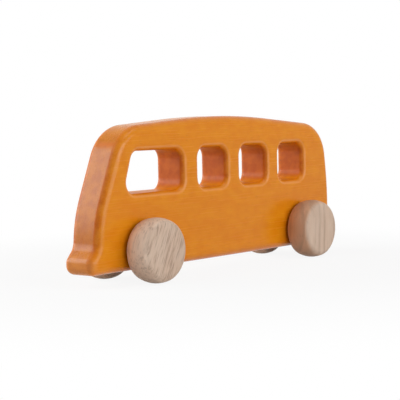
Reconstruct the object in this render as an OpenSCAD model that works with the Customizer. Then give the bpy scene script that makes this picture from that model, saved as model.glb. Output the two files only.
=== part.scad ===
// Wooden toy bus: one thick board body with routed windows, rolling on two wheelsets.
// X points forward, Y to the bus's left, Z up. The floor is Z = 0, and X = 0 is the middle of the body.

/* [Body board] */
// Overall length, from the back to the front of the bumper
body_l = 219; // [205:1:245]
// Thickness of the board
body_t = 21; // [16:0.5:30]
// Height of the underside over the floor
ride_h = 6.9; // [4:0.1:9]
// Radius of the rounded-over edge around both faces
body_edge_r = 4.4; // [2:0.1:5]

/* [Roof] */
// Height over the underside at which the two roof slopes would meet
peak_h = 82.5; // [80:0.5:90]
// Distance of that peak behind the middle of the body
peak_back = 5.7; // [0:0.1:15]
// Radius that blends the two roof slopes
peak_r = 520; // [200:10:700]

/* [Front] */
// Reach of the bumper in front of the cove above it
bumper_reach = 5.4; // [3:0.1:7]
// Height of the bumper's front face over the underside, before rounding
bumper_h = 8; // [6:0.1:10]
// Radius of the bumper's rounded corners
bumper_r = 4.6; // [2:0.1:5]
// Height of the cove over the underside
cove_h = 14.2; // [12:0.1:18]
// Radius of the cove between bumper and front
cove_r = 7.8; // [4:0.1:10]
// Height over the underside at which the front starts to lean back
knee_h = 30; // [26:0.5:36]
// Lean of the lower front, from cove to knee
knee_lean = 1.5; // [0.5:0.1:3]
// Radius of the bend at the knee
knee_r = 68; // [30:1:80]
// Height of the front top corner over the underside, before rounding
brow_h = 76.4; // [74:0.1:78]
// Lean of the upper front, from knee to front top corner
brow_lean = 19.2; // [14:0.1:24]
// Radius of the front top corner
brow_r = 24.8; // [16:0.1:28]

/* [Back] */
// Height of the back top corner over the underside, before rounding
back_h = 73.9; // [71:0.1:76]
// Lean of the upper back
back_lean = 5.2; // [2:0.1:8]
// Radius of the back top corner
back_r = 23; // [14:0.5:26]
// Height over the underside at which the back starts to lean
waist_h = 37; // [30:0.5:40]
// Radius of the bend at the waist
waist_r = 200; // [100:5:250]
// Radius of the heel between back and underside
heel_r = 6; // [3:0.1:9]

/* [Windows] */
// Height of the window sills over the underside
sill_h = 41; // [36:0.5:43]
// Height of the window openings
window_h = 22.3; // [16:0.1:24]
// Length of a passenger window
window_l = 25.4; // [20:0.1:27]
// Number of passenger windows
window_count = 3; // [1:1:3]
// Width of the posts between passenger windows
post_w = 12.7; // [9:0.1:14]
// Width of the board behind the last passenger window
tail_w = 28.8; // [22:0.1:32]
// Width of the post between passenger windows and cab window
cab_post_w = 13.8; // [10:0.1:15]
// Width of the front pillar along the sill line
pillar_w = 15.7; // [12:0.1:22]
// Lean of the cab window's front edge, from sill to head
cab_window_lean = 7.5; // [3:0.1:12]
// Radius of the windows' corners
window_r = 6; // [3:0.1:8]
// Radius of the rounded-over edge around each window
window_edge_r = 3.5; // [1.5:0.1:4.5]

/* [Wheels and axles] */
// Diameter of the wheels
wheel_d = 35; // [30:0.5:40]
// Thickness of the wheels
wheel_t = 15.6; // [13:0.1:20]
// Slope of a wheel's crowned tread on both sides of its middle, in degrees
tread_slope = 17; // [8:0.5:20]
// Radius of the crown along the middle of the tread
tread_r = 16; // [8:0.5:20]
// Radius of the wheels' rounded edges
wheel_edge_r = 3.2; // [1:0.1:4]
// Gap between a wheel and the board
wheel_gap = 0.7; // [0.4:0.1:3]
// Diameter of the axle dowels
axle_d = 8; // [5:0.5:10]
// Clearance around an axle in the board, in radius
axle_clear = 0.08; // [0.02:0.01:0.1]
// Distance of the front axle behind the front of the bumper
front_overhang = 40.5; // [36:0.5:48]
// Distance of the rear axle in front of the back
rear_overhang = 33.5; // [28:0.5:42]
// Depth of the blind hole in each wheel
socket_depth = 9; // [5:0.1:9.5]
// Glue room around an axle in a wheel, in radius
glue_gap = 0.05; // [0.02:0.01:0.1]
// Glue room between an axle's end and the bottom of its blind hole
glue_pocket = 0.3; // [0.1:0.1:1]
// Chamfer on the axle ends
axle_chamfer = 0.8; // [0.2:0.1:1.5]

/* [Hidden] */

PAINT = "#D5822A";
BEECH = "#C8AB95";
DOWEL = "#BE9F82";

// Largest distance between an arc and the straight pieces that stand for it
CHORD_GAP = 0.045;
// Steps across a rounded-over edge
EDGE_STEPS = 5;
// Smallest radius that a corner keeps when its outline moves inwards
MIN_CORNER_R = 0.05;
// Length by which cutters run past the faces that they cut
OVERRUN = 1;
// Sides of drilled holes and turned dowels
ROUND_SIDES = 64;
// Sides of turned wheels
WHEEL_SIDES = 96;

nose_x = body_l / 2;
back_x = -body_l / 2;
front_axle_x = nose_x - front_overhang;
rear_axle_x = back_x + rear_overhang;
axle_z = wheel_d / 2;
wheel_y = body_t / 2 + wheel_gap;
axle_l = 2 * (wheel_y + socket_depth - glue_pocket);

// Corners of the body's side view, anticlockwise, each [x, z, radius]
cove_x = nose_x - bumper_reach;
knee_x = cove_x - knee_lean;
BODY_CORNERS = [
    [back_x, ride_h, heel_r],
    [nose_x, ride_h, bumper_r],
    [nose_x, ride_h + bumper_h, bumper_r],
    [cove_x, ride_h + cove_h, cove_r],
    [knee_x, ride_h + knee_h, knee_r],
    [knee_x - brow_lean, ride_h + brow_h, brow_r],
    [-peak_back, ride_h + peak_h, peak_r],
    [back_x + back_lean, ride_h + back_h, back_r],
    [back_x, ride_h + waist_h, waist_r],
];

sill_z = ride_h + sill_h;
last_window_x = back_x + tail_w;
cab_window_x = last_window_x + window_count * window_l + (window_count - 1) * post_w + cab_post_w;
front_at_sill_x = knee_x - brow_lean * (sill_h - knee_h) / (brow_h - knee_h);
cab_window_l = front_at_sill_x - pillar_w - cab_window_x;

// Unit vector along v
function unit(v) = v / norm(v);

// Vector v turned a quarter anticlockwise
function left_of(v) = [-v.y, v.x];

// Vector v turned anticlockwise by an angle
function turned(v, angle) = [v.x * cos(angle) - v.y * sin(angle), v.x * sin(angle) + v.y * cos(angle)];

// Item i of a closed list, which runs on past both ends
function item(list, i) = list[(i + len(list)) % len(list)];

// Place of corner i, without its radius
function spot(corners, i) = let (c = item(corners, i)) [c[0], c[1]];

// Vector from corner i to the next
function edge(corners, i) = spot(corners, i + 1) - spot(corners, i);

// Turn at corner i, in degrees, positive to the left
function bend(corners, i) =
    let (u = edge(corners, i - 1), v = edge(corners, i))
    atan2(cross(u, v), u * v);

// Length that the arc at corner i takes from the edges beside it
function reach(corners, i) = item(corners, i)[2] * tan(abs(bend(corners, i)) / 2);

// Share of the arcs at corners i and i + 1 that the edge between them has room for
function room(corners, i) =
    let (wanted = reach(corners, i) + reach(corners, i + 1))
    wanted == 0 ? 1 : min(1, norm(edge(corners, i)) / wanted);

// Corners of the outline moved inwards, where outer radii shrink and inner radii grow
function moved_in(corners, inset) = [
    for (i = [0 : len(corners) - 1])
        let (
            u = unit(edge(corners, i - 1)),
            v = unit(edge(corners, i)),
            place = spot(corners, i) + (left_of(u) + left_of(v)) * inset / (1 + u * v),
            r = corners[i][2]
        )
        [place.x, place.y, r == 0 ? 0 : max(r - sign(cross(u, v)) * inset, MIN_CORNER_R)],
];

// Corners whose radii fit the edges between them
function fitted(corners) = [
    for (i = [0 : len(corners) - 1])
        [corners[i][0], corners[i][1], corners[i][2] * min(room(corners, i - 1), room(corners, i))],
];

// Straight pieces that stand for an arc, enough to keep within CHORD_GAP of it
function arc_steps(r, angle) =
    r == 0 ? 0 : max(1, ceil(abs(angle) / (2 * acos(max(0, 1 - CHORD_GAP / r)))));

// Points of the arc around corner i
function corner_arc(corners, i, steps) =
    let (
        angle = bend(corners, i),
        u = unit(edge(corners, i - 1)),
        start = spot(corners, i) - u * reach(corners, i),
        spoke = left_of(u) * sign(angle) * corners[i][2]
    )
    [for (k = [0 : steps]) start + spoke - turned(spoke, angle * k / max(steps, 1))];

// Closed outline through rounded corners [x, z, radius], moved inwards by inset
function outline(corners, inset = 0) =
    let (moved = fitted(moved_in(corners, inset)))
    [
        for (i = [0 : len(corners) - 1])
            each corner_arc(moved, i, arc_steps(corners[i][2], bend(corners, i))),
    ];

// Stations [y, inset] across a board whose edges are rounded over with radius r
function edge_stations(thickness, r) = [
    for (side = [-1, 1])
        for (k = [0 : EDGE_STEPS])
            let (angle = 90 * (side < 0 ? k : EDGE_STEPS - k) / EDGE_STEPS)
            [side * (thickness / 2 - r + r * cos(angle)), r * (1 - sin(angle))],
];

// Solid through the same outline at each station [y, inset]
module loft(corners, stations) {
    rings = [for (s = stations) [for (p = outline(corners, s[1])) [p.x, s[0], p.y]]];
    n = len(rings[0]);
    last = (len(rings) - 1) * n;
    sides = [
        for (i = [0 : len(rings) - 2])
            for (k = [0 : n - 1])
                let (a = i * n + k, b = i * n + (k + 1) % n)
                each [[a, b, b + n], [a, b + n, a + n]],
    ];
    caps = [
        [for (k = [n - 1 : -1 : 0]) k],
        [for (k = [0 : n - 1]) last + k],
    ];
    polyhedron(points = [for (ring = rings) each ring], faces = concat(sides, caps), convexity = 6);
}

// Cutter for a window whose edges flare out on both faces
module window_cut(corners) {
    flare = [for (s = edge_stations(body_t, window_edge_r)) [s[0], -s[1]]];
    end = body_t / 2 + OVERRUN;
    loft(corners, concat([[-end, -window_edge_r]], flare, [[end, -window_edge_r]]));
}

// Corners of a window from its back edge x, its length and the lean of its front edge
function window_corners(x, length, lean) = [
    [x, sill_z, window_r],
    [x + length, sill_z, window_r],
    [x + length - lean, sill_z + window_h, window_r],
    [x, sill_z + window_h, window_r],
];

// Round bar across the bus, centred on an axle
module cross_bar(x, d, length) {
    translate([x, 0, axle_z])
        rotate([90, 0, 0])
            cylinder(d = d, h = length, center = true, $fn = ROUND_SIDES);
}

module bus_body() {
    color(PAINT)
        difference() {
            loft(BODY_CORNERS, edge_stations(body_t, body_edge_r));
            window_cut(window_corners(cab_window_x, cab_window_l, cab_window_lean));
            for (i = [0 : window_count - 1])
                window_cut(window_corners(last_window_x + i * (window_l + post_w), window_l, 0));
            for (x = [front_axle_x, rear_axle_x])
                cross_bar(x, axle_d + 2 * axle_clear, body_t + 2 * OVERRUN);
        }
}

// Dowel with chamfered ends
module axle(x) {
    color(DOWEL)
        translate([x, 0, axle_z])
            rotate([90, 0, 0])
                rotate_extrude($fn = ROUND_SIDES)
                    polygon([
                        [0, -axle_l / 2],
                        [axle_d / 2 - axle_chamfer, -axle_l / 2],
                        [axle_d / 2, -axle_l / 2 + axle_chamfer],
                        [axle_d / 2, axle_l / 2 - axle_chamfer],
                        [axle_d / 2 - axle_chamfer, axle_l / 2],
                        [0, axle_l / 2],
                    ]);
}

// Turned wheel with a crowned tread and a blind hole in its inner face, on the side +1 (left) or -1 (right)
module wheel(x, side) {
    crown_r = wheel_d / 2 + tread_r * (1 / cos(tread_slope) - 1);
    shoulder_r = crown_r - wheel_t / 2 * tan(tread_slope);
    profile = outline([
        [0, 0, 0],
        [shoulder_r, 0, wheel_edge_r],
        [crown_r, wheel_t / 2, tread_r],
        [shoulder_r, wheel_t, wheel_edge_r],
        [0, wheel_t, 0],
    ]);
    color(BEECH)
        translate([x, side * wheel_y, axle_z])
            rotate([-90 * side, 0, 0])
                difference() {
                    rotate_extrude($fn = WHEEL_SIDES)
                        polygon(profile);
                    translate([0, 0, -OVERRUN])
                        cylinder(d = axle_d + 2 * glue_gap, h = socket_depth + OVERRUN, $fn = ROUND_SIDES);
                }
}

bus_body();
axle(front_axle_x);  // front_axle
axle(rear_axle_x);  // rear_axle
wheel(front_axle_x, 1);  // front_left_wheel
wheel(front_axle_x, -1);  // front_right_wheel
wheel(rear_axle_x, 1);  // rear_left_wheel
wheel(rear_axle_x, -1);  // rear_right_wheel
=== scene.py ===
import math

import bmesh
import bpy
from mathutils import Matrix, Vector


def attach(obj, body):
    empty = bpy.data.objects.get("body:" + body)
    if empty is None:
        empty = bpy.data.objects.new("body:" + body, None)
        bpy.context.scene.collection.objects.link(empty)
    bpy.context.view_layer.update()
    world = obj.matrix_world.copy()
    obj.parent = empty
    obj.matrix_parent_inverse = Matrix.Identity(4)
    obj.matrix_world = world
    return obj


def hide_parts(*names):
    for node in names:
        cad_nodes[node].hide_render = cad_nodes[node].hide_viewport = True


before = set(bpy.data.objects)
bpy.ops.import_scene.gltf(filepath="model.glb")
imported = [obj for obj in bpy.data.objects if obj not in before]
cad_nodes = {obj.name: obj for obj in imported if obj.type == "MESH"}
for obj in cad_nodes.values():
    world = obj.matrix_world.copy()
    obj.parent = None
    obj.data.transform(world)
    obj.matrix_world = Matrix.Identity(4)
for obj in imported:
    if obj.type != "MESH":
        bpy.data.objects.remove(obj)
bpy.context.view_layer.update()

# Looks of the wooden toy bus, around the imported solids. X points forward, Y to the bus's left, Z up.
# Lengths are in millimetres where no comment says metres, and MM turns them into metres.
MM = 0.001

# Board
BOARD_T = 21
BOARD_EDGE_R = 4.4
WINDOW_EDGE_R = 3.5

# Corners (x, z, radius) of the board's outline
HEEL = (-109.5, 6.9, 6)
BUMPER_FOOT = (109.5, 6.9, 4.6)
BUMPER_TOP = (109.5, 14.9, 4.6)
COVE = (104.1, 21.1, 7.8)
KNEE = (102.6, 36.9, 68)
BROW = (83.4, 83.3, 24.8)
PEAK = (-5.7, 89.4, 520)
BACK_TOP = (-104.3, 80.8, 23)
WAIST = (-109.5, 43.9, 200)

# Windows
SILL_Z = 47.9
HEAD_Z = 70.2
WINDOW_R = 6
WINDOW_L = 25.4
POST_W = 12.7
WINDOW_COUNT = 3
LAST_WINDOW_X = -80.7
CAB_BACK_X = 34.7
CAB_SILL_FRONT_X = 82.35
CAB_HEAD_FRONT_X = 74.85

# Axle holes
AXLE_Z = 17.5
FRONT_AXLE_X = 69
REAR_AXLE_X = -76
BORE_R = 4.08

# Wheels
WHEEL_R = 17.5
WHEEL_T = 15.6
WHEEL_EDGE_R = 3.2
WHEEL_INNER_Y = 11.2
TREAD_SLOPE = math.radians(17)
TREAD_R = 16
SOCKET_R = 4.05
SOCKET_DEPTH = 9
SOCKET_EDGE_R = 0.4

# Fineness of the meshes: points this close are welded, and edges that turn further than this stay sharp
WELD = 0.002
SHARP_TURN = math.radians(40)
ARC_MIN_STEPS = 4
ARC_STEP_TURN = math.radians(5)
ARC_STEP_LENGTH = 3
EDGE_STEPS = 12
WHEEL_STEPS = 128

# Height at which the board's face is parted through the windows. It is parted at the axles too, so that
# no part has a hole in it.
WINDOW_CUT_Z = 59

# How far a rim may be off the place, the level and the right angle (in radians) by which it is known
RIM_SLACK = 0.1
LEVEL_SLACK = 0.01
SQUARE_SLACK = 0.1

# Colours of the paint, the beech and the dowels
PAINT = {
    "thin": (0.685, 0.206, 0.002, 1),
    "blotch": (0.725, 0.246, 0.005, 1),
    "late_wood": (0.66, 0.19, 0.002, 1),
    "end_grain": (0.45, 0.114, 0.006, 1),
    "end_grain_blotch": (0.55, 0.166, 0.010, 1),
    "worn": (0.78, 0.31, 0.03, 1),
    # Paler tone of the painted highlight on the window rims and of the painted sheen on the bumper
    "painted_highlight": (0.82, 0.33, 0.09, 1),
}
BEECH = {
    "pale": (0.62, 0.475, 0.37, 1),
    "warm": (0.58, 0.425, 0.32, 1),
    "late_wood": (0.36, 0.245, 0.18, 1),
    "fleck": (0.27, 0.175, 0.125, 1),
    "end_grain": (0.48, 0.32, 0.22, 1),
    # Tread tones: partly the wood's own, and partly painted light on the pale one and painted shade on the
    # dark one
    "sapwood_and_painted_light": (0.88, 0.68, 0.53, 1),
    "heartwood_and_painted_shade": (0.72, 0.42, 0.245, 1),
}
DOWEL = {
    "pale": (0.56, 0.39, 0.26, 1),
    "warm": (0.515, 0.347, 0.223, 1),
    "late_wood": (0.40, 0.26, 0.165, 1),
    "burnished": (0.38, 0.22, 0.12, 1),
}
# Painted shade: red, green and blue of the paint on the dark band of the round-overs and on the window jambs,
# beside those of the paint around it
PAINTED_SHADE_TINT = (1.08, 0.86, 1.0)

# Looks of the woods: sizes of their marks, how strongly each mark shows, roughness, the height of each mark
# in a relief of the given depth, and gloss. A pair goes from one end of a range to the other.
PAINTED = {
    "wood_figure": {
        "Fibre Length": 26.0, "Fibre Width": 0.9, "Band Width": 15.0, "Band Wander": 2.2,
        "Fleck Length": 3.5, "Fleck Width": 0.6, "Fleck Share": 0.07,
    },
    "blotches": {"Length": 8.0, "Width": 5.0},
    "end_grain_from": 0.4,
    "band_share": 0.25,
    # Share of the painted shade on the round-overs' dark band and the window jambs
    "painted_shade_share": 0.55,
    "worn_share": (0.04, 0.22),
    # Shares of the painted highlight on the window rims and of the painted sheen on the bumper
    "window_highlight_share": 0.55,
    "bumper_sheen_share": 0.36,
    "fibre_shade": (0.992, 1.008),
    "fleck_shade": -0.09,
    "speck_shade": -0.05,
    "rough_fibre": (0.3, 0.75),
    "roughness": (0.22, 0.30),
    "end_grain_roughness": 0.04,
    "inside_roughness": 0.16,
    "relief": {"Fibre": 0.3, "Blotch": 0.6, "Fleck": -0.3},
    "relief_depth": 0.008,
    "specular": 0.2,
}
SANDED = {
    "blotches": {"Length": 14.0, "Width": 6.0},
    "end_grain_from": 0.35,
    "end_grain_share": 0.3,
    "streak_fibre": (0.49, 0.66),
    "fade_on_arris": -0.2,
    "fade_on_tread": -0.55,
    "fibre_shade": (1.03, 0.97),
    "speck_shade": -0.06,
    "roughness": (0.5, 0.62),
    "arris_roughness": -0.08,
    "relief": {"Fibre": -0.6, "Fleck": -0.5, "Band": -0.2},
    "relief_depth": 0.05,
    "specular": 0.25,
}
# Two figures of sanded beech, each with a tread tone that is partly the wood's own: painted light on the
# flecked one, painted shade on the banded one
FLECKED = {
    **SANDED,
    "wood_figure": {
        "Fibre Length": 14.0, "Fibre Width": 1.25, "Band Width": 12.0, "Band Wander": 1.2,
        "Fleck Length": 7.0, "Fleck Width": 0.8, "Fleck Share": 0.2,
    },
    "band_share": 0.12,
    "streak_share": 0.85,
    "fleck_share": 0.55,
    "tread": "sapwood_and_painted_light",
    "tread_share": 0.95,
}
BANDED = {
    **SANDED,
    "wood_figure": {
        "Fibre Length": 40.0, "Fibre Width": 2.2, "Band Width": 8.5, "Band Wander": 2.0,
        "Fleck Length": 4.0, "Fleck Width": 0.7, "Fleck Share": 0.08,
    },
    "band_share": 0.36,
    "streak_share": 0.3,
    "fleck_share": 0.4,
    "tread": "heartwood_and_painted_shade",
    "tread_share": 0.7,
}
TURNED = {
    "wood_figure": BANDED["wood_figure"],
    "blotches": {"Length": 12.0, "Width": 3.0},
    "streak_fibre": (0.5, 0.7),
    "streak_share": 0.4,
    "burnished_share": 0.35,
    "roughness": 0.6,
    "burnished_roughness": -0.2,
    "relief": {"Fibre": -1.0},
    "relief_depth": 0.04,
    "specular": 0.25,
}
# Lean of the grain from upright, in degrees, and figure of each wheel. The figure sets the tread's tone,
# which is partly painted light on the front left wheel and partly painted shade on the others.
WHEEL_WOOD = {
    "front_left": (24, FLECKED),
    "front_right": (-40, BANDED),
    "rear_left": (3, BANDED),
    "rear_right": (65, BANDED),
}

# Direction across the growth rings, in wood whose grain runs along X, and length and width of their drift
RING_LIE = (0, 0.4, 0.92)
DRIFT_SIZE = (70.0, 11.0)
# Parts of a growth ring over which late wood comes and goes
LATE_WOOD_COMES = (0.25, 0.85)
LATE_WOOD_GOES = (1.0, 0.9)
# Ranges of noise that make the rim of a fleck, the fibres, the blotches, the specks and the wear in blotches
FLECK_RIM = (0.5, 0.2)
FIBRE_RANGE = (0.3, 0.7)
BLOTCH_RANGE = (0.3, 0.7)
SPECK_RANGE = (0.66, 0.78)
WORN_BLOTCH = (0.2, 0.9)

# Parts of the way round an edge over which its arris comes and goes, its painted shade comes and goes, and
# the inside of a window begins
ARRIS_COMES = (0.02, 0.3)
ARRIS_GOES = (0.85, 0.35)
PAINTED_SHADE_COMES = (0.08, 0.35)
PAINTED_SHADE_GOES = (1.03, 0.92)
INSIDE_COMES = (0.6, 0.9)

# Depth below the board's faces of the painted highlight on the rims of the windows, and distances from the
# windows between which the windows' stretch ends
HIGHLIGHT_RIM_DEPTH = 1.1
WINDOW_STRETCH_FADE = (6, 4)
# Places between which the painted sheen comes in, forward and down on to the bumper
BUMPER_SHEEN_X = (COVE[0] - 1, BUMPER_TOP[0] - 2)
BUMPER_SHEEN_Z = (BUMPER_TOP[1] + 3, BUMPER_TOP[1] - 2)
# Distances from the axle between which the face's tone turns into the tread's, and their shift in a blotch.
# The tread's tone is partly the wood's own and partly painted light and shade.
TREAD_FROM = (14.6, 16.4)
TREAD_DRIFT = -0.8
# Distances from the middle of a dowel between which its burnish from the board begins
BURNISHED_TO = (BOARD_T / 2 - 1, BOARD_T / 2 - 3)

# Floor: half its width and the distances over which the bus's shadow fades out, in metres, and the share of
# plain white near the bus and away from it
WHITE = (1, 1, 1, 1)
FLOOR_GREY = (0.7, 0.7, 0.7, 1)
FLOOR_REACH = 30
SHADOW_FADE = (0.1, 0.3)
WHITE_SHARE = (0.9, 1.0)

# Soft boxes: azimuth and elevation in degrees, size in metres, and brightness, of which white paper has 1
SOFT_BOXES = {
    "front_box": (305, 21, (0.75, 0.78), 6.5),
    "side_box": (95, 13, (1.25, 0.6), 4.05),
    "roof_box": (110, 60, (0.6, 0.4), 3.0),
    "nose_box": (343, 46, (0.3, 0.45), 5.5),
}
# Distance of the soft boxes in metres, the height at which they look, and the brightness all around
LIGHT_DISTANCE = 1.2
LIGHT_AIM_Z = 45
SURROUND = 0.15

# Camera: yaw from the bus's left towards its front, pitch and roll in degrees
CAMERA_YAW = 50.53
CAMERA_PITCH = 3.71
CAMERA_ROLL = -1.29
CAMERA_AIM = (8.62, 0, 39.94)
CAMERA_DISTANCE = 741.78
LENS = 116.2
SENSOR_W = 36
NEAR_LIMIT = 10


def on_line(a, b, z):
    """Corner without a radius at height z on the line between two corners."""
    return (a[0] + (b[0] - a[0]) * (z - a[1]) / (b[1] - a[1]), z, 0)


def draw_line(bm, tip, place):
    """Draws a line from the pencil tip to a place."""
    tip = bmesh.ops.extrude_vert_indiv(bm, verts=[tip])["verts"][0]
    tip.co = place
    return tip


def draw_arc(bm, tip, centre, turn):
    """Draws an arc from the pencil tip, to the left where turn is positive."""
    length = (tip.co - centre).length * abs(turn)
    turn_steps = math.ceil(abs(turn) / ARC_STEP_TURN)
    length_steps = math.ceil(length / (ARC_STEP_LENGTH * MM))
    steps = max(ARC_MIN_STEPS, turn_steps, length_steps)
    arc = bmesh.ops.spin(bm, geom=[tip], cent=centre, axis=(0, -1, 0), angle=turn, steps=steps)
    return [part for part in arc["geom_last"] if isinstance(part, bmesh.types.BMVert)][0]


def draw_path(bm, corners, y=0, closed=True):
    """Draws a path through rounded corners (x, z, radius) in the plane at y."""
    places = [Vector((x, y, z)) * MM for x, z, radius in corners]
    tip = first = None
    for i, place in enumerate(places):
        radius = corners[i][2] * MM
        start = place
        if radius:
            into = (place - places[i - 1]).normalized()
            out = (places[(i + 1) % len(places)] - place).normalized()
            left = Vector((-into.z, 0, into.x))
            turn = math.atan2(out.dot(left), out.dot(into))
            start = place - into * radius * math.tan(abs(turn) / 2)
        if tip:
            tip = draw_line(bm, tip, start)
        else:
            tip = first = bm.verts.new(start)
        if radius:
            tip = draw_arc(bm, tip, start + left * math.copysign(radius, turn), turn)
    if closed:
        bm.edges.new((tip, first))


def saw_out(bm, corners):
    """Face with the outline through rounded corners, on the board's right side."""
    draw_path(bm, corners, -BOARD_T / 2)
    bmesh.ops.contextual_create(bm, geom=[edge for edge in bm.edges if edge.is_wire])


def half_bore(x, toward):
    """Corners of the half of an axle hole above or below the axle, from its front to its back."""
    z = AXLE_Z + toward * BORE_R
    front, back = x + BORE_R, x - BORE_R
    return [(front, AXLE_Z, 0), (front, z, BORE_R), (back, z, BORE_R), (back, AXLE_Z, 0)]


def half_window(front_cut, front, back, z):
    """Corners of the half of a window above or below the parting, from its front to its back."""
    return [front_cut, (front, z, WINDOW_R), (back, z, WINDOW_R), (back, WINDOW_CUT_Z, 0)]


def finish_piece(name, bm, material, grain):
    """Closes a bmesh into a smooth-shaded piece at the origin, and marks its end grain."""
    bmesh.ops.remove_doubles(bm, verts=bm.verts[:], dist=WELD * MM)
    bmesh.ops.recalc_face_normals(bm, faces=bm.faces[:])
    mesh = bpy.data.meshes.new(name)
    bm.to_mesh(mesh)
    bm.free()
    mesh.shade_smooth()
    mesh.set_sharp_from_angle(angle=SHARP_TURN)
    mesh.materials.append(material)
    end_grain = mesh.attributes.new("end_grain", "FLOAT", "CORNER")
    for mark, normal in zip(end_grain.data, mesh.corner_normals):
        mark.value = abs(normal.vector.dot(grain))
    piece = bpy.data.objects.new(name, mesh)
    bpy.context.scene.collection.objects.link(piece)
    flat_faces = piece.modifiers.new("flat faces", "WEIGHTED_NORMAL")
    flat_faces.keep_sharp = True
    return piece


def make_board(material):
    """Board sawn to the bus's outline, with windows and axle holes, and routed round its edges."""
    bm = bmesh.new()
    rear_window_cut = on_line(BACK_TOP, WAIST, WINDOW_CUT_Z)
    front_window_cut = on_line(KNEE, BROW, WINDOW_CUT_Z)
    rear_axle_cut = (HEEL[0], AXLE_Z, 0)
    front_axle_cut = on_line(BUMPER_TOP, COVE, AXLE_Z)

    # Windows and bores run from front to back
    cab_cut = on_line((CAB_SILL_FRONT_X, SILL_Z), (CAB_HEAD_FRONT_X, HEAD_Z), WINDOW_CUT_Z)
    heads = half_window(cab_cut, CAB_HEAD_FRONT_X, CAB_BACK_X, HEAD_Z)
    sills = half_window(cab_cut, CAB_SILL_FRONT_X, CAB_BACK_X, SILL_Z)
    for i in reversed(range(WINDOW_COUNT)):
        back = LAST_WINDOW_X + i * (WINDOW_L + POST_W)
        front = back + WINDOW_L
        heads += half_window((front, WINDOW_CUT_Z, 0), front, back, HEAD_Z)
        sills += half_window((front, WINDOW_CUT_Z, 0), front, back, SILL_Z)
    bore_tops = half_bore(FRONT_AXLE_X, 1) + half_bore(REAR_AXLE_X, 1)
    bore_feet = half_bore(FRONT_AXLE_X, -1) + half_bore(REAR_AXLE_X, -1)

    nose = [front_axle_cut, COVE, KNEE, front_window_cut]
    saw_out(bm, [front_window_cut, BROW, PEAK, BACK_TOP, rear_window_cut] + heads[::-1])
    saw_out(bm, [rear_axle_cut] + bore_tops[::-1] + nose + sills + [rear_window_cut, WAIST])
    saw_out(bm, [rear_axle_cut, HEEL, BUMPER_FOOT, BUMPER_TOP, front_axle_cut] + bore_feet)
    bmesh.ops.remove_doubles(bm, verts=bm.verts[:], dist=WELD * MM)
    side = bmesh.ops.extrude_face_region(bm, geom=bm.faces[:], use_keep_orig=True)
    moved = [part for part in side["geom"] if isinstance(part, bmesh.types.BMVert)]
    bmesh.ops.translate(bm, verts=moved, vec=(0, BOARD_T * MM, 0))
    bmesh.ops.recalc_face_normals(bm, faces=bm.faces[:])
    route_edges(bm)
    return finish_piece("bus_board", bm, material, Vector((1, 0, 0)))


def in_window(place):
    """Whether a place lies on the rim of a window."""
    along = LAST_WINDOW_X - RIM_SLACK < place.x / MM < CAB_SILL_FRONT_X + RIM_SLACK
    return along and SILL_Z - RIM_SLACK < place.z / MM < HEAD_Z + RIM_SLACK


def in_bore(place):
    """Whether a place lies on the rim of an axle hole."""
    x, z = place.x / MM, place.z / MM
    distances = [math.hypot(x - axle_x, z - AXLE_Z) for axle_x in (FRONT_AXLE_X, REAR_AXLE_X)]
    return min(distances) < BORE_R + RIM_SLACK


def is_rim(edge):
    """Whether an edge lies level between a face of the board and a wall square to it."""
    if len(edge.link_faces) != 2 or abs(edge.calc_face_angle() - math.pi / 2) > SQUARE_SLACK:
        return False
    return abs(edge.verts[0].co.y - edge.verts[1].co.y) < LEVEL_SLACK * MM


def route_edges(bm):
    """Rounds over the rims of the outline and of the windows on both faces of the board."""
    outer_rims, window_rims = [], []
    for edge in filter(is_rim, bm.edges):
        middle = (edge.verts[0].co + edge.verts[1].co) / 2
        if in_window(middle):
            window_rims.append(edge)
        elif not in_bore(middle):
            outer_rims.append(edge)
    for edges, radius in ((outer_rims, BOARD_EDGE_R), (window_rims, WINDOW_EDGE_R)):
        bmesh.ops.bevel(
            bm, geom=edges, offset=radius * MM, offset_type="OFFSET", segments=EDGE_STEPS, profile=0.5,
            affect="EDGES", clamp_overlap=False, material=-1,
        )


def make_wheel(name, x, side, material, grain):
    """Wheel turned round its axle, with a crowned tread and a blind hole for the dowel in its inner face."""
    bm = bmesh.new()
    axle = Vector((x, 0, AXLE_Z)) * MM
    inner = WHEEL_INNER_Y
    outer = WHEEL_INNER_Y + WHEEL_T
    crown_r = WHEEL_R + TREAD_R * (1 / math.cos(TREAD_SLOPE) - 1)
    shoulder_r = crown_r - WHEEL_T / 2 * math.tan(TREAD_SLOPE)
    # The profile is drawn as (distance from the axle, distance from the bus's middle), then stood up
    draw_path(
        bm,
        [
            (0, inner + SOCKET_DEPTH, 0),
            (SOCKET_R, inner + SOCKET_DEPTH, 0),
            (SOCKET_R, inner, SOCKET_EDGE_R),
            (shoulder_r, inner, WHEEL_EDGE_R),
            (crown_r, (inner + outer) / 2, TREAD_R),
            (shoulder_r, outer, WHEEL_EDGE_R),
            (0, outer, 0),
        ],
        closed=False,
    )
    stand_up = Matrix(((1, 0, 0, 0), (0, 0, side, 0), (0, 1, 0, 0), (0, 0, 0, 1)))
    bmesh.ops.transform(bm, matrix=Matrix.Translation(axle) @ stand_up, verts=bm.verts[:])
    bmesh.ops.spin(
        bm, geom=bm.verts[:] + bm.edges[:], cent=axle, axis=(0, 1, 0), angle=math.tau, steps=WHEEL_STEPS,
        use_merge=True,
    )
    return finish_piece(name, bm, material, grain)


def add_node(tree, kind, sockets=None, **settings):
    """Adds a shader node with its settings, and puts values or links into its sockets."""
    made = tree.nodes.new("ShaderNode" + kind)
    for name, value in settings.items():
        setattr(made, name, value)
    for name, value in (sockets or {}).items():
        if isinstance(value, bpy.types.NodeSocket):
            tree.links.new(value, made.inputs[name])
        else:
            made.inputs[name].default_value = value
    return made


def worked_out(tree, operation, *terms):
    """Result of a sum on values."""
    return add_node(tree, "Math", dict(enumerate(terms)), operation=operation).outputs[0]


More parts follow.
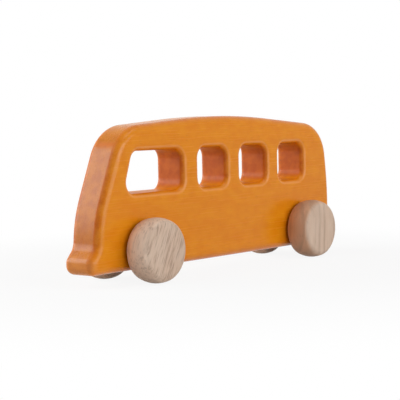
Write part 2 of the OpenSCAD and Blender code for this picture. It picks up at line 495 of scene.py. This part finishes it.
def times(tree, product, *factors):
    """Product of values."""
    for factor in factors:
        product = worked_out(tree, "MULTIPLY", product, factor)
    return product


def added(tree, value, share, base):
    """Base plus a share of a value."""
    return worked_out(tree, "MULTIPLY_ADD", value, share, base)


def eased(tree, value, low, high, at_low=0.0, at_high=1.0):
    """Value that eases from at_low to at_high while another goes from low to high."""
    sockets = {"Value": value, "From Min": low, "From Max": high, "To Min": at_low, "To Max": at_high}
    return add_node(tree, "MapRange", sockets, interpolation_type="SMOOTHSTEP").outputs["Result"]


def toned(tree, share, first, second):
    """Colour between two colours."""
    return add_node(tree, "Mix", {0: share, 6: first, 7: second}, data_type="RGBA").outputs[2]


def shaded(tree, colour, shade):
    """Colour times a shade."""
    return add_node(tree, "VectorMath", {0: colour, "Scale": shade}, operation="SCALE").outputs[0]


def parted(tree, place):
    """X, Y and Z of a place."""
    return add_node(tree, "SeparateXYZ", {0: place}).outputs


def scaled(tree, vector, factors):
    """Vector or colour, each part times its own factor."""
    return add_node(tree, "VectorMath", {0: vector, 1: factors}, operation="MULTIPLY").outputs[0]


def distance_from_origin(tree, place):
    """Distance of a place from the origin."""
    return add_node(tree, "VectorMath", {0: place}, operation="LENGTH").outputs["Value"]


def stretched(tree, place, length, width):
    """Place measured in lengths along the grain and widths across it."""
    sizes = add_node(tree, "CombineXYZ", {"X": length, "Y": width, "Z": width}).outputs[0]
    return add_node(tree, "VectorMath", {0: place, 1: sizes}, operation="DIVIDE").outputs[0]


def new_group(name, inputs, outputs):
    """Shader node group with named number sockets, and a place in millimetres as its first input."""
    group = bpy.data.node_groups.new(name, "ShaderNodeTree")
    group.interface.new_socket(name="Place", in_out="INPUT", socket_type="NodeSocketVector")
    for title in inputs:
        group.interface.new_socket(name=title, in_out="INPUT", socket_type="NodeSocketFloat")
    for title in outputs:
        group.interface.new_socket(name=title, in_out="OUTPUT", socket_type="NodeSocketFloat")
    return group, group.nodes.new("NodeGroupInput").outputs, group.nodes.new("NodeGroupOutput").inputs


def make_wood_figure():
    """Figure of wood whose grain runs along X: fine fibres, growth bands and short dark flecks."""
    # The inputs are the sizes that every look gives
    tree, given, shown = new_group("wood_figure", PAINTED["wood_figure"], ["Fibre", "Band", "Fleck"])
    place = given["Place"]
    fibre_place = stretched(tree, place, given["Fibre Length"], given["Fibre Width"])
    fibre = add_node(tree, "TexNoise", {"Vector": fibre_place, "Scale": 1.0, "Detail": 4.0, "Roughness": 0.6})
    tree.links.new(fibre.outputs["Fac"], shown["Fibre"])

    drift_place = stretched(tree, place, *DRIFT_SIZE)
    drift = add_node(tree, "TexNoise", {"Vector": drift_place, "Scale": 1.0, "Detail": 2.0})
    across = add_node(tree, "VectorMath", {0: place, 1: RING_LIE}, operation="DOT_PRODUCT")
    rings = worked_out(tree, "DIVIDE", across.outputs["Value"], given["Band Width"])
    rings = added(tree, drift.outputs["Fac"], given["Band Wander"], rings)
    ring = worked_out(tree, "FRACT", rings)
    band = times(tree, eased(tree, ring, *LATE_WOOD_COMES), eased(tree, ring, *LATE_WOOD_GOES))
    tree.links.new(band, shown["Band"])

    fleck_place = stretched(tree, place, given["Fleck Length"], given["Fleck Width"])
    cells = add_node(tree, "TexVoronoi", {"Vector": fleck_place, "Scale": 1.0, "Randomness": 1.0})
    lot = add_node(tree, "SeparateColor", {0: cells.outputs["Color"]}).outputs[0]
    chosen = worked_out(tree, "LESS_THAN", lot, given["Fleck Share"])
    fleck = times(tree, eased(tree, cells.outputs["Distance"], *FLECK_RIM), chosen)
    tree.links.new(fleck, shown["Fleck"])


def make_blotches():
    """Uneven soaking of a finish into the wood: soft blotches and fine specks."""
    tree, given, shown = new_group("blotches", ["Length", "Width"], ["Blotch", "Speck"])
    place = stretched(tree, given["Place"], given["Length"], given["Width"])
    blotch = add_node(tree, "TexNoise", {"Vector": place, "Scale": 1.0, "Detail": 3.0, "Roughness": 0.55})
    tree.links.new(eased(tree, blotch.outputs["Fac"], *BLOTCH_RANGE), shown["Blotch"])
    speck = add_node(tree, "TexNoise", {"Vector": given["Place"], "Scale": 1.4, "Detail": 1.0})
    tree.links.new(eased(tree, speck.outputs["Fac"], *SPECK_RANGE), shown["Speck"])


def make_round_over_marks():
    """Rounded-over edge: Way Round goes from 0 at the face to 1 at its end, and Arris marks its crest."""
    inputs = ["Middle", "Half Thickness", "Radius"]
    tree, given, shown = new_group("round_over_marks", inputs, ["Arris", "Way Round"])
    across = parted(tree, given["Place"])["Y"]
    off_middle = worked_out(tree, "ABSOLUTE", worked_out(tree, "SUBTRACT", across, given["Middle"]))
    from_face = worked_out(tree, "SUBTRACT", given["Half Thickness"], off_middle)
    way = worked_out(tree, "DIVIDE", from_face, given["Radius"])
    tree.links.new(way, shown["Way Round"])
    arris = times(tree, eased(tree, way, *ARRIS_COMES), eased(tree, way, *ARRIS_GOES))
    tree.links.new(arris, shown["Arris"])


def placed(tree, group, sockets):
    """Outputs of a shared node group that is placed in a material with its own values."""
    return add_node(tree, "Group", sockets, node_tree=bpy.data.node_groups[group]).outputs


def wood_marks(tree, place, look):
    """Marks of a wood by name: Fibre, Band, Fleck, Blotch and Speck."""
    marks = {}
    for group in ("wood_figure", "blotches"):
        marks.update(placed(tree, group, {"Place": place, **look[group]}).items())
    return marks


def wood_place(tree, centre=(0, 0, 0), turn=(0, 0, 0)):
    """Place in a piece of wood in millimetres from its centre, turned so that X runs along the grain."""
    coordinates = add_node(tree, "TexCoord").outputs["Object"]
    sockets = {"Vector": coordinates, "Location": centre, "Rotation": turn, "Scale": (MM, MM, MM)}
    return add_node(tree, "Mapping", sockets, vector_type="TEXTURE").outputs[0]


def end_grain_share(tree, look):
    """Share of end grain, from the piece's own marks."""
    mark = add_node(tree, "Attribute", attribute_name="end_grain").outputs["Fac"]
    return eased(tree, mark, look["end_grain_from"], 1.0)


def by_windows(tree, place):
    """Marks the stretch of the board with the windows, where the window rims carry a painted highlight and
    the jambs a painted shade.
    """
    place = parted(tree, place)
    far, near = WINDOW_STRETCH_FADE
    above = eased(tree, place["Z"], SILL_Z - far, SILL_Z - near)
    below = eased(tree, place["Z"], HEAD_Z + far, HEAD_Z + near)
    behind = eased(tree, place["X"], CAB_SILL_FRONT_X + far, CAB_SILL_FRONT_X + near)
    ahead = eased(tree, place["X"], LAST_WINDOW_X - far, LAST_WINDOW_X - near)
    return times(tree, above, below, behind, ahead)


def on_bumper(tree, place):
    """Marks the front of the bumper, which carries a painted sheen."""
    place = parted(tree, place)
    return times(tree, eased(tree, place["X"], *BUMPER_SHEEN_X), eased(tree, place["Z"], *BUMPER_SHEEN_Z))


def new_finish(name, look):
    """Material with its node tree and its Principled shader, which has the look's plain gloss."""
    material = bpy.data.materials.new(name)
    material.use_nodes = True
    shader = material.node_tree.nodes["Principled BSDF"]
    shader.inputs["Specular IOR Level"].default_value = look["specular"]
    return material, material.node_tree, shader


def raise_grain(tree, shader, marks, look):
    """Fine relief of the wood's marks."""
    height = 0.0
    for name, share in look["relief"].items():
        height = added(tree, marks[name], share, height)
    depth = look["relief_depth"] * MM
    bump = add_node(tree, "Bump", {"Height": height, "Strength": 1.0, "Distance": depth})
    tree.links.new(bump.outputs["Normal"], shader.inputs["Normal"])


def make_orange_paint():
    """Thin satin paint through which the board's grain shows, deeper on end grain and paler on worn edges,
    with painted shade on its round-overs and jambs and painted highlights on its window rims and bumper.
    """
    material, tree, shader = new_finish("orange_satin_paint", PAINTED)
    place = wood_place(tree)
    marks = wood_marks(tree, place, PAINTED)
    board = {"Place": place, "Middle": 0.0, "Half Thickness": BOARD_T / 2}
    edge = placed(tree, "round_over_marks", {**board, "Radius": BOARD_EDGE_R})
    rim = placed(tree, "round_over_marks", {**board, "Radius": HIGHLIGHT_RIM_DEPTH})
    end_grain = end_grain_share(tree, PAINTED)
    window_stretch = by_windows(tree, place)

    colour = toned(tree, marks["Blotch"], PAINT["thin"], PAINT["blotch"])
    band = times(tree, marks["Band"], PAINTED["band_share"])
    colour = toned(tree, band, colour, PAINT["late_wood"])
    soaked = toned(tree, marks["Blotch"], PAINT["end_grain"], PAINT["end_grain_blotch"])
    colour = toned(tree, end_grain, colour, soaked)
    # Painted shade: a redder, less green tone on the dark band of the round-overs and on the window jambs
    outer_edge = eased(tree, edge["Way Round"], *PAINTED_SHADE_GOES, 0.0, PAINTED["painted_shade_share"])
    jamb = times(tree, window_stretch, end_grain)
    painted_shade = worked_out(tree, "MAXIMUM", outer_edge, jamb)
    painted_shade = times(tree, painted_shade, eased(tree, edge["Way Round"], *PAINTED_SHADE_COMES))
    colour = toned(tree, painted_shade, colour, scaled(tree, colour, PAINTED_SHADE_TINT))
    worn = eased(tree, marks["Blotch"], *WORN_BLOTCH, *PAINTED["worn_share"])
    colour = toned(tree, times(tree, edge["Arris"], worn), colour, PAINT["worn"])
    # Painted highlight: a paler band on the rims of the windows, close to the board's faces
    painted_highlight = times(tree, rim["Arris"], window_stretch, PAINTED["window_highlight_share"])
    colour = toned(tree, painted_highlight, colour, PAINT["painted_highlight"])
    # Painted sheen: a paler tone on the front of the bumper
    bumper_sheen = times(tree, on_bumper(tree, place), PAINTED["bumper_sheen_share"])
    colour = toned(tree, bumper_sheen, colour, PAINT["painted_highlight"])
    shade = eased(tree, marks["Fibre"], *FIBRE_RANGE, *PAINTED["fibre_shade"])
    shade = added(tree, marks["Fleck"], PAINTED["fleck_shade"], shade)
    shade = added(tree, marks["Speck"], PAINTED["speck_shade"], shade)
    tree.links.new(shaded(tree, colour, shade), shader.inputs["Base Color"])

    rough = eased(tree, marks["Fibre"], *PAINTED["rough_fibre"], *PAINTED["roughness"])
    rough = added(tree, end_grain, PAINTED["end_grain_roughness"], rough)
    inside = times(tree, window_stretch, eased(tree, edge["Way Round"], *INSIDE_COMES))
    rough = added(tree, inside, PAINTED["inside_roughness"], rough)
    tree.links.new(rough, shader.inputs["Roughness"])
    raise_grain(tree, shader, marks, PAINTED)
    return material


def make_beech(name, centre, turn, look):
    """Bare sanded beech of one wheel, with its own lie of the grain. Its rounded edges are handled smooth."""
    material, tree, shader = new_finish(name, look)
    place = wood_place(tree, centre, turn)
    marks = wood_marks(tree, place, look)
    wheel = {"Place": wood_place(tree), "Middle": centre.y / MM, "Half Thickness": WHEEL_T / 2}
    edge = placed(tree, "round_over_marks", {**wheel, "Radius": WHEEL_EDGE_R})
    # The axle runs along Y, so the distance from it leaves Y out
    from_axle = distance_from_origin(tree, scaled(tree, place, (1, 0, 1)))
    from_axle = added(tree, marks["Blotch"], TREAD_DRIFT, from_axle)
    tread = times(tree, eased(tree, from_axle, *TREAD_FROM), look["tread_share"])
    clear = added(tree, edge["Arris"], look["fade_on_arris"], 1.0)
    clear = added(tree, tread, look["fade_on_tread"], clear)

    colour = toned(tree, marks["Blotch"], BEECH["pale"], BEECH["warm"])
    # Tread tone, partly the wood's own and partly painted: lighter for light on the front left tread, darker
    # for shade on the others
    colour = toned(tree, tread, colour, BEECH[look["tread"]])
    band = times(tree, marks["Band"], look["band_share"])
    colour = toned(tree, band, colour, BEECH["late_wood"])
    streak = eased(tree, marks["Fibre"], *look["streak_fibre"], 0.0, look["streak_share"])
    colour = toned(tree, times(tree, streak, clear), colour, BEECH["late_wood"])
    fleck = times(tree, marks["Fleck"], look["fleck_share"], clear)
    colour = toned(tree, fleck, colour, BEECH["fleck"])
    end_grain = times(tree, end_grain_share(tree, look), look["end_grain_share"])
    colour = toned(tree, end_grain, colour, BEECH["end_grain"])
    shade = eased(tree, marks["Fibre"], *FIBRE_RANGE, *look["fibre_shade"])
    shade = added(tree, marks["Speck"], look["speck_shade"], shade)
    tree.links.new(shaded(tree, colour, shade), shader.inputs["Base Color"])

    rough = eased(tree, marks["Fibre"], *FIBRE_RANGE, *look["roughness"])
    rough = added(tree, edge["Arris"], look["arris_roughness"], rough)
    tree.links.new(rough, shader.inputs["Roughness"])
    raise_grain(tree, shader, marks, look)
    return material


def make_dowel_wood(name, x):
    """Bare dowel with its grain along the axle. Turning in the board has burnished its middle."""
    material, tree, shader = new_finish(name, TURNED)
    place = wood_place(tree, Vector((x, 0, AXLE_Z)) * MM, (0, 0, math.pi / 2))
    marks = wood_marks(tree, place, TURNED)
    from_middle = worked_out(tree, "ABSOLUTE", parted(tree, place)["X"])
    burnished = eased(tree, from_middle, *BURNISHED_TO)

    colour = toned(tree, marks["Blotch"], DOWEL["pale"], DOWEL["warm"])
    streak = eased(tree, marks["Fibre"], *TURNED["streak_fibre"], 0.0, TURNED["streak_share"])
    colour = toned(tree, worked_out(tree, "MAXIMUM", streak, marks["Fleck"]), colour, DOWEL["late_wood"])
    darker = times(tree, burnished, TURNED["burnished_share"])
    tree.links.new(toned(tree, darker, colour, DOWEL["burnished"]), shader.inputs["Base Color"])
    rough = added(tree, burnished, TURNED["burnished_roughness"], TURNED["roughness"])
    tree.links.new(rough, shader.inputs["Roughness"])
    raise_grain(tree, shader, marks, TURNED)
    return material


def seen_white(tree):
    """Marks the rays that the camera follows: straight, in a gloss and through glass."""
    rays = add_node(tree, "LightPath").outputs
    mirrored = worked_out(tree, "MAXIMUM", rays["Is Glossy Ray"], rays["Is Transmission Ray"])
    return worked_out(tree, "MAXIMUM", rays["Is Camera Ray"], mirrored)


def lay_floor():
    """Pale floor that looks white to the camera and keeps the bus's shadow close by."""
    bm = bmesh.new()
    bmesh.ops.create_grid(bm, x_segments=1, y_segments=1, size=FLOOR_REACH)
    mesh = bpy.data.meshes.new("floor")
    bm.to_mesh(mesh)
    bm.free()
    floor = bpy.data.objects.new("floor", mesh)
    bpy.context.scene.collection.objects.link(floor)
    material = bpy.data.materials.new("pale_floor")
    material.use_nodes = True
    tree = material.node_tree
    tree.nodes.clear()
    matt = add_node(tree, "BsdfDiffuse", {"Color": FLOOR_GREY})
    white = add_node(tree, "Emission", {"Color": WHITE, "Strength": 1.0})
    away = distance_from_origin(tree, add_node(tree, "TexCoord").outputs["Object"])
    share = times(tree, seen_white(tree), eased(tree, away, *SHADOW_FADE, *WHITE_SHARE))
    mix = add_node(tree, "MixShader", {0: share, 1: matt.outputs[0], 2: white.outputs[0]})
    add_node(tree, "OutputMaterial", {"Surface": mix.outputs[0]})
    mesh.materials.append(material)


def hang_light(name, azimuth, elevation, size, brightness):
    """Soft box that looks at the bus, brightness times as bright as white paper."""
    lamp = bpy.data.lights.new(name, "AREA")
    lamp.shape = "RECTANGLE"
    lamp.size, lamp.size_y = size
    lamp.energy = math.pi * size[0] * size[1] * brightness
    holder = bpy.data.objects.new(name, lamp)
    bpy.context.scene.collection.objects.link(holder)
    holder.visible_camera = False
    turn, rise = math.radians(azimuth), math.radians(elevation)
    away = Vector((math.cos(turn) * math.cos(rise), math.sin(turn) * math.cos(rise), math.sin(rise)))
    holder.location = away * LIGHT_DISTANCE + Vector((0, 0, LIGHT_AIM_Z * MM))
    holder.rotation_euler = away.to_track_quat("Z", "Y").to_euler()


def light_studio():
    """Soft plain light: a faint surround, and soft boxes in front, at the side, above and over the nose."""
    world = bpy.data.worlds.new("studio")
    bpy.context.scene.world = world
    world.use_nodes = True
    tree = world.node_tree
    tree.nodes.clear()
    surround = add_node(tree, "Background", {"Color": WHITE, "Strength": SURROUND})
    white = add_node(tree, "Background", {"Color": WHITE, "Strength": 1.0})
    mix = add_node(tree, "MixShader", {0: seen_white(tree), 1: surround.outputs[0], 2: white.outputs[0]})
    add_node(tree, "OutputWorld", {"Surface": mix.outputs[0]})
    for name, box in SOFT_BOXES.items():
        hang_light(name, *box)


def set_camera():
    """Camera at the angle from which the bus is seen: front left, a little from above."""
    yaw, pitch, roll = (math.radians(angle) for angle in (CAMERA_YAW, CAMERA_PITCH, CAMERA_ROLL))
    look = -Vector((math.sin(yaw) * math.cos(pitch), math.cos(yaw) * math.cos(pitch), math.sin(pitch)))
    right = look.cross(Vector((0, 0, 1))).normalized()
    upright = right.cross(look)
    across = right * math.cos(roll) + upright * math.sin(roll)
    up = upright * math.cos(roll) - right * math.sin(roll)
    lens = bpy.data.cameras.new("camera")
    lens.sensor_fit = "HORIZONTAL"
    lens.sensor_width = SENSOR_W
    lens.lens = LENS
    lens.clip_start = NEAR_LIMIT * MM
    camera = bpy.data.objects.new("camera", lens)
    bpy.context.scene.collection.objects.link(camera)
    turn = Matrix((across, up, -look)).transposed().to_4x4()
    place = (Vector(CAMERA_AIM) - look * CAMERA_DISTANCE) * MM
    camera.matrix_world = Matrix.Translation(place) @ turn
    bpy.context.scene.camera = camera


make_wood_figure()
make_blotches()
make_round_over_marks()

board = make_board(make_orange_paint())
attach(board, "body")
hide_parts("bus_body")

for end, x in (("front", FRONT_AXLE_X), ("rear", REAR_AXLE_X)):
    for hand, side in (("left", 1), ("right", -1)):
        wheel_name = f"{end}_{hand}"
        lean, look = WHEEL_WOOD[wheel_name]
        lean = math.radians(lean)
        centre = Vector((x, side * (WHEEL_INNER_Y + WHEEL_T / 2), AXLE_Z)) * MM
        beech = make_beech(f"{wheel_name}_beech", centre, (0, -math.pi / 2 - lean, 0), look)
        grain = Vector((-math.sin(lean), 0, math.cos(lean)))
        wheel = make_wheel(f"{wheel_name}_disc", x, side, beech, grain)
        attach(wheel, f"{end}_wheelset")
        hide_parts(f"{wheel_name}_wheel")
    axle_mesh = cad_nodes[f"{end}_axle"].data
    axle_mesh.materials.clear()
    axle_mesh.materials.append(make_dowel_wood(f"{end}_dowel_wood", x))

lay_floor()
light_studio()
set_camera()
bpy.context.scene.view_settings.view_transform = "Standard"
